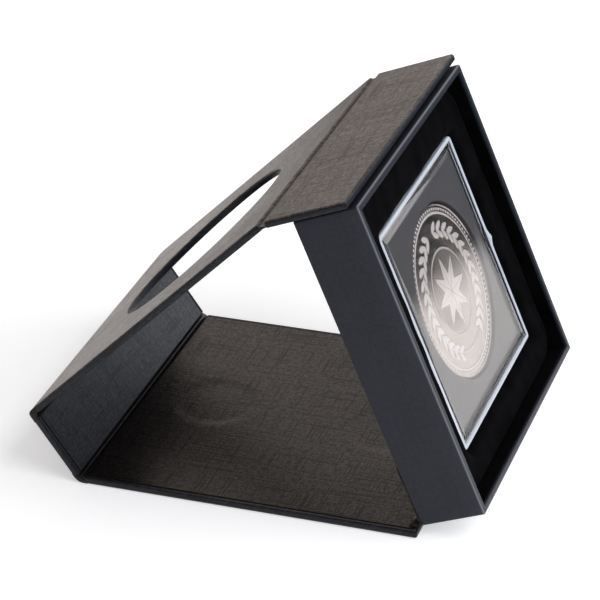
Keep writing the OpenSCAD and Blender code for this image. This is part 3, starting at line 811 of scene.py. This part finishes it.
# Capsule and coin
HALF = CAPSULE_SIDE / 2
SEAM = CAPSULE_T / 2
SEAM_GAP = 0.02
SEAM_EDGE = 0.12
PER_SIDE = 49
in_tray = (TRAY / 2 - CAPSULE_SINK) * tray_spot.along + CAPSULE_AT * tray_spot.out
capsule_spot = tray_spot._replace(origin=tray_spot.origin + in_tray)


def capsule_half(name, section, body, replaced, trim, tab=False):
    """One half of the capsule: its section carried round a rounded square, and a flat grid that closes each plate. The
    tab is a small knob, a bell curve along one side, that swells out of the edge. The section's first rows up to the
    trim are the moulded edge, in a paler material that is a painted highlight."""
    knob_width, knob_out, knob_up, border = 1.1, 0.7, 0.25, 3.5
    wall = carried((-HALF, HALF, CAPSULE_SIDE, CAPSULE_CORNER, PER_SIDE), section)
    if tab:
        by_side = (wall[..., 1] < 1 - HALF) * (wall[..., 2] > CAPSULE_T - CAPSULE_PLATE - 0.01)
        knob = np.exp(-(wall[..., 0] / knob_width) ** 2) * by_side
        wall[..., 1] -= knob_out * knob * (wall[..., 1] < 0.5 - HALF)
        wall[..., 2] += knob_up * knob * (wall[..., 2] > CAPSULE_T)
    patches = [Patch(wall, trim=trim)]
    side = HALF - border
    across = np.linspace(-side, side, PER_SIDE + 2)
    for end in (0, -1):
        height = wall[end, 0, 2]
        square = carried((-side, side, 2 * side, 0, PER_SIDE), [[0, height]])
        plate = np.stack([*np.meshgrid(across, across, indexing="ij"), np.full((len(across),) * 2, height)], -1)
        patches += [Patch(np.concatenate([square, wall[end][None]])), Patch(plate, loop=False)]
    skin(name, patches, capsule_spot, body, plastic, replaced, edging=edge_highlight_plastic)


def capsule_lid():
    """Front half of the capsule: from its plate over a low raised rim and a rounded edge, down the wall, across the
    seam and up inside."""
    edge, rim, inner_edge = 0.45, CAPSULE_T + 0.2, 0.3
    under_plate = CAPSULE_T - CAPSULE_PLATE
    raised = [[1.0, CAPSULE_T], [0.92, CAPSULE_T + 0.05], [0.85, CAPSULE_T + 0.16], [0.78, rim]]
    section = np.concatenate([
        raised, bend(edge, rim - edge, edge, 90, 0), [[0, under_plate], [0, under_plate - 0.1]],
        bend(SEAM_EDGE, SEAM + SEAM_GAP + SEAM_EDGE, SEAM_EDGE, 0, -90, 4),
        [[CAPSULE_WALL - 0.1, SEAM + SEAM_GAP], [CAPSULE_WALL, SEAM + SEAM_GAP + 0.1]],
        bend(CAPSULE_WALL + inner_edge, under_plate - inner_edge, inner_edge, 0, 90, 4)])
    trim = len(raised) + ARC_ROWS
    capsule_half("capsule_lid", section, "capsule_cover", ["capsule_front"], trim, tab=True)


def capsule_tub():
    """Back half of the capsule: from its plate over a rounded edge, up the wall, in along the seam to the raised lip,
    over the lip and down inside."""
    edge, lip_edge, lip_fit, lip_height = 0.4, 0.2, 0.05, 1
    lip_out, lip_in, lip_top = CAPSULE_WALL + lip_fit, CAPSULE_WALL + CAPSULE_LIP, SEAM + lip_height
    section = np.concatenate([
        bend(edge, edge, edge, -90, 0), bend(SEAM_EDGE, SEAM - SEAM_GAP - SEAM_EDGE, SEAM_EDGE, 0, 90, 4),
        [[lip_out - 0.1, SEAM - SEAM_GAP], [lip_out, SEAM + 0.1]],
        bend(lip_out + lip_edge, lip_top - lip_edge, lip_edge, 0, 90, 4),
        bend(lip_in - lip_edge, lip_top - lip_edge, lip_edge, 90, 180, 4),
        [[lip_in, CAPSULE_PLATE + 0.1], [lip_in + 0.1, CAPSULE_PLATE]]])
    capsule_half("capsule_tub", section, "capsule", ["capsule_back"], trim=ARC_ROWS - 1)


def leaf_height(x, y):
    """A leaf along x: a pointed oval, domed across, with a groove along its middle."""
    half = LEAF_WIDTH / 2 * np.clip(np.sin(np.pi * np.clip(x / LEAF_LENGTH, 0, 1)), 0, 1) ** 0.8
    share = np.where((x > 0) & (x < LEAF_LENGTH), np.abs(y) / np.maximum(half, 1e-6), 2)
    groove = 0.35 * np.exp(-(y / 0.12) ** 2)
    return np.clip(1 - share ** 2, 0, 1) ** 0.5 * (1 - groove) * (share < 1)


def coin_relief(r, turn):
    """Height of the struck design from 0 to 1: a ring of domed beads between fine circles, a wreath of two leafy
    branches, and a hatched eight-pointed star on fine rays. A bead is a half sphere's height by its distance; a ray is
    a cosine round the middle; the star is flat, with a cosine's hatching, a sunk outline and a groove along each
    point."""
    branch_start, branch_sweep, stem_sweep = -84, 150, 130
    circle_line, stem_line, star_line, star_groove, hatch = 0.14, 0.15, 0.25, 0.15, 0.6
    bead_ring = COIN_D / 2 - COIN_RIM - 0.7
    circles = bead_ring - 0.8, STAR_R + 0.9
    beside = (np.mod(turn * BEADS / (2 * np.pi) + 0.5, 1) - 0.5) * 2 * np.pi * r / BEADS
    height = np.sqrt(np.clip(1 - (np.hypot(beside, r - bead_ring) / BEAD_R) ** 2, 0, 1))
    for circle in circles:
        height = np.maximum(height, 0.7 * np.exp(-((r - circle) / circle_line) ** 2))
    x, y = r * np.cos(turn), r * np.sin(turn)
    branch_r = sum(circles) / 2
    for side in (-1, 1):
        for place in np.radians(branch_start + np.arange(LEAVES) * branch_sweep / LEAVES):
            dx, dy = side * y - branch_r * np.cos(place), -x - branch_r * np.sin(place)
            for lean in np.radians((60, 120)):
                c, s = np.cos(place + lean), np.sin(place + lean)
                height = np.maximum(height, leaf_height(c * dx + s * dy, c * dy - s * dx))
    on_stem = np.degrees(np.arctan2(np.abs(y), -x)) < stem_sweep
    stem = 0.6 * np.exp(-((r - branch_r) / stem_line) ** 2) * on_stem
    wedge = np.abs(np.mod(turn * STAR_POINTS / (2 * np.pi) + 0.5, 1) - 0.5) * 2 * np.pi / STAR_POINTS
    step, short = np.pi / STAR_POINTS, 0.45 * STAR_R
    reach = STAR_R * short * np.sin(step) / (STAR_R * np.sin(wedge) + short * np.sin(step - wedge))
    star = 0.5 + 0.04 * np.cos(2 * np.pi * x / hatch)
    star -= 0.4 * np.exp(-((reach - r) / star_line) ** 2) + 0.3 * np.exp(-(r * wedge / star_groove) ** 2)
    rays = 0.1 * (0.5 + 0.5 * np.cos(RAYS * turn))
    rays = rays * np.clip(r - 1.5, 0, 1) * np.clip((STAR_R + 0.5 - r) / 0.2, 0, 1)
    return np.maximum(np.maximum(height, stem), np.where(r < reach, star, rays))


def struck_coin():
    """Coin: rings from the middle of the back over the rim and the milled edge to the middle of the front, whose height
    follows the design; the edge's radius waves round by the number of mills."""
    columns, rings, struck = 600, 105, 0.7
    rim, field, face = COIN_D / 2, COIN_D / 2 - COIN_RIM, COIN_T - COIN_RELIEF
    back = [(r, COIN_RELIEF) for r in (0, 4, 9, 14, field)] + [(r, 0) for r in (field + 0.12, rim - 0.5, rim - 0.15)]
    edge = [(rim - 0.05, 0.05), (rim, 0.16), (rim, 0.3), (rim, COIN_T - 0.3), (rim, COIN_T - 0.16),
            (rim - 0.05, COIN_T - 0.05)]
    top = [(rim - 0.15, COIN_T - 0.01), (rim - 0.5, COIN_T), (field + 0.3, COIN_T), (field + 0.16, COIN_T - 0.02)]
    front = [(field + 0.02, face)] + [(r, face) for r in np.linspace(field - 0.02, 0, rings)]
    turn = np.linspace(0, 2 * np.pi, columns, endpoint=False)[None]
    profile = np.array(back + edge + top + front)
    r, z = profile[:, :1] + 0 * turn, profile[:, 1:] + 0 * turn
    milled = slice(len(back) + 2, len(back) + 4)
    r[milled] -= MILL_DEPTH * (0.5 + 0.5 * np.cos(MILLS * turn))
    fronts = slice(len(profile) - len(front), None)
    z[fronts] += struck * COIN_RELIEF * coin_relief(r[fronts], turn + 0 * r[fronts])
    rows = np.stack([r * np.cos(turn), r * np.sin(turn), z + SEAM - COIN_T / 2], -1)
    piece = skin("struck_coin", [Patch(rows)], capsule_spot, "coin", silver, ["coin"])
    x, y, z = local_points(piece, capsule_spot)
    level = z - SEAM - COIN_T / 2 + COIN_RELIEF
    mark(piece, "frost", np.clip((level - 0.02) / 0.05, 0, 1) * (np.hypot(x, y) < field - 0.05))


capsule_lid()
capsule_tub()
struck_coin()

# Stage, light and camera; the floor's and the card's places in millimetres
FLOOR_MIDDLE = (-60, -20)
FLOOR_R = 335
FLOOR_FADE = (270, 330)
CARD_ENDS = ((32.6, 98.9), (63.2, 77.9))
CARD_HEIGHT = 50


def stage_piece(name, points, faces, paint):
    """A mesh of the stage from points in millimetres."""
    mesh = bpy.data.meshes.new(name)
    mesh.from_pydata((points * MM).tolist(), [], faces)
    mesh.materials.append(paint)
    piece = bpy.data.objects.new(name, mesh)
    bpy.context.scene.collection.objects.link(piece)
    return piece


def floor_paint():
    """White floor, a part of whose light is its own where it is seen or, a little warmer, mirrored, so that it goes
    over into the white surroundings; it fades out towards its rim."""
    made, tree, shader = material("white_floor")
    place = object_place(tree)
    tone = stretched_noise(tree, place, (8, 8, 8))
    fill(tree, shader, {"Base Color": mixed(tree, tone, (0.87, 0.87, 0.87), (0.89, 0.89, 0.89)),
                        "Roughness": 0.9, "Specular IOR Level": 0.1})
    path = node(tree, "LightPath").outputs
    mirrored = sums(tree, "MAXIMUM", path["Is Glossy Ray"], path["Is Transmission Ray"])
    seen = sums(tree, "MAXIMUM", path["Is Camera Ray"], mirrored)
    hue = mixed(tree, path["Is Camera Ray"], (0.87, 0.75, 0.68), WHITE)
    own = node(tree, "Emission", {"Color": hue, "Strength": sums(tree, "MULTIPLY", seen, 0.38)})
    both = node(tree, "AddShader", {0: shader.outputs[0], 1: own.outputs[0]})
    centre = (FLOOR_MIDDLE[0] * MM, FLOOR_MIDDLE[1] * MM, 0)
    away = node(tree, "VectorMath", {0: place, 1: centre}, operation="DISTANCE").outputs["Value"]
    rim = ranged(tree, away, FLOOR_FADE[0] * MM, FLOOR_FADE[1] * MM, soft=True)
    through = node(tree, "BsdfTransparent").outputs[0]
    faded = node(tree, "MixShader", {"Fac": rim, 1: both.outputs[0], 2: through})
    fill(tree, tree.nodes["Material Output"], {"Surface": faded.outputs[0]})
    return made


def sweep_floor():
    """Floor: rings of a flat round sheet, a hair under the box, that keeps its shadow."""
    turns = np.linspace(0, 2 * np.pi, 72, endpoint=False)
    r, turn = np.meshgrid(np.linspace(0, FLOOR_R, 30), turns, indexing="ij")
    points = np.stack([r * np.cos(turn) + FLOOR_MIDDLE[0], r * np.sin(turn) + FLOOR_MIDDLE[1], 0 * r - 0.05], -1)
    index = np.arange(r.size).reshape(r.shape)
    right = np.roll(index, -1, 1)
    quads = np.stack([index[:-1], index[1:], right[1:], right[:-1]], -1).reshape(-1, 4)
    stage_piece("floor", points.reshape(-1, 3), quads.tolist(), floor_paint())


def dark_card():
    """A dark card, a flat upright sheet behind the box, that is only mirrored: it keeps light off the spine's near
    end."""
    made, tree, shader = material("dark_card")
    fill(tree, shader, {"Base Color": (0.05, 0.05, 0.052, 1), "Roughness": 0.9})
    a, b = CARD_ENDS
    corners = np.array([(*a, 0), (*b, 0), (*b, CARD_HEIGHT), (*a, CARD_HEIGHT)])
    card = stage_piece("dark_card", corners, [(0, 1, 2, 3)], made)
    card.visible_camera = card.visible_diffuse = card.visible_transmission = card.visible_shadow = False


def placed(name, data, place, right, up, back):
    """An object at a place, turned to its own axes."""
    made = bpy.data.objects.new(name, data)
    made.matrix_world = Matrix.Translation(place) @ Matrix(np.stack([right, up, back], 1).tolist()).to_4x4()
    bpy.context.scene.collection.objects.link(made)
    return made


def softbox(name, place, aim, size, watts, colour=WHITE):
    """A square area lamp that faces a point; it lights, but isn't mirrored or seen through the capsule."""
    lamp = bpy.data.lights.new(name, "AREA")
    lamp.shape = "SQUARE"
    lamp.size = size
    lamp.energy = watts
    lamp.color = colour
    back = np.subtract(place, aim)
    back /= np.linalg.norm(back)
    side = np.cross(Z, back)
    side /= np.linalg.norm(side)
    box = placed(name, lamp, place, side, np.cross(back, side), back)
    box.visible_glossy = box.visible_transmission = False


def studio_world():
    """White surroundings where they are seen, a softer even light where they only light. Where they are mirrored or
    seen through the capsule, the room is dark below the table's edge and dimmer behind the camera."""
    world = bpy.data.worlds.new("studio")
    world.use_nodes = True
    tree = world.node_tree
    path = node(tree, "LightPath").outputs
    way = node(tree, "TexCoord").outputs["Generated"]
    axes = node(tree, "SeparateXYZ", {0: way}).outputs
    below = ranged(tree, axes["Z"], -0.06, 0.0, 0.05, 1.0, soft=True)
    facing = node(tree, "VectorMath", {0: way, 1: (0.25, -0.93, 0.27)}, operation="DOT_PRODUCT").outputs["Value"]
    dimmer = ranged(tree, facing, 0.0, 0.7, 1.0, 0.35, soft=True)
    through = sums(tree, "MAXIMUM", path["Is Glossy Ray"], path["Is Transmission Ray"])
    mirrored = sums(tree, "MULTIPLY", through, sums(tree, "MULTIPLY", below, dimmer))
    even = sums(tree, "MULTIPLY", path["Is Diffuse Ray"], 0.4)
    strength = sums(tree, "MAXIMUM", sums(tree, "MAXIMUM", path["Is Camera Ray"], mirrored), even)
    tint = mixed(tree, ranged(tree, axes["X"], -0.15, 0.4), (1.0, 0.9, 0.84), (0.86, 0.9, 1.0))
    colour = mixed(tree, path["Is Camera Ray"], tint, WHITE)
    fill(tree, tree.nodes["Background"], {"Strength": strength, "Color": colour})
    bpy.context.scene.world = world


def photo_camera():
    """Camera at the photograph's viewing angle: yaw from +Y, pitch down and a slight roll, focal length in pixels of a
    picture 600 wide."""
    place, focal, picture = (0.17342, -0.477039, 0.307164), 2698.66, 600
    yaw, pitch, roll = np.radians((-19.9328, 28.6059, -1.8182))
    ahead = np.array([np.sin(yaw) * np.cos(pitch), np.cos(yaw) * np.cos(pitch), -np.sin(pitch)])
    level = np.array([np.cos(yaw), -np.sin(yaw), 0])
    rise = np.cross(level, ahead)
    right = np.cos(roll) * level + np.sin(roll) * rise
    up = np.cos(roll) * rise - np.sin(roll) * level
    lens = bpy.data.cameras.new("camera")
    lens.sensor_width = 36
    lens.lens = focal / picture * lens.sensor_width
    lens.clip_start, lens.clip_end = 0.01, 10
    bpy.context.scene.camera = placed("camera", lens, place, right, up, -ahead)


sweep_floor()
dark_card()
softbox("key", (0.62, 0.02, 0.42), (0, 0, 0.03), size=1.0, watts=9.0)
softbox("front", (0.1, -0.75, 0.3), (0, 0, 0.03), size=0.4, watts=0.7, colour=(0.45, 0.66, 1.0))
softbox("edge", (0.55, -0.6, 0.1), (0, 0, 0.04), size=0.15, watts=1.5, colour=COOL)
studio_world()
photo_camera()
bpy.context.scene.view_settings.view_transform = "Standard"
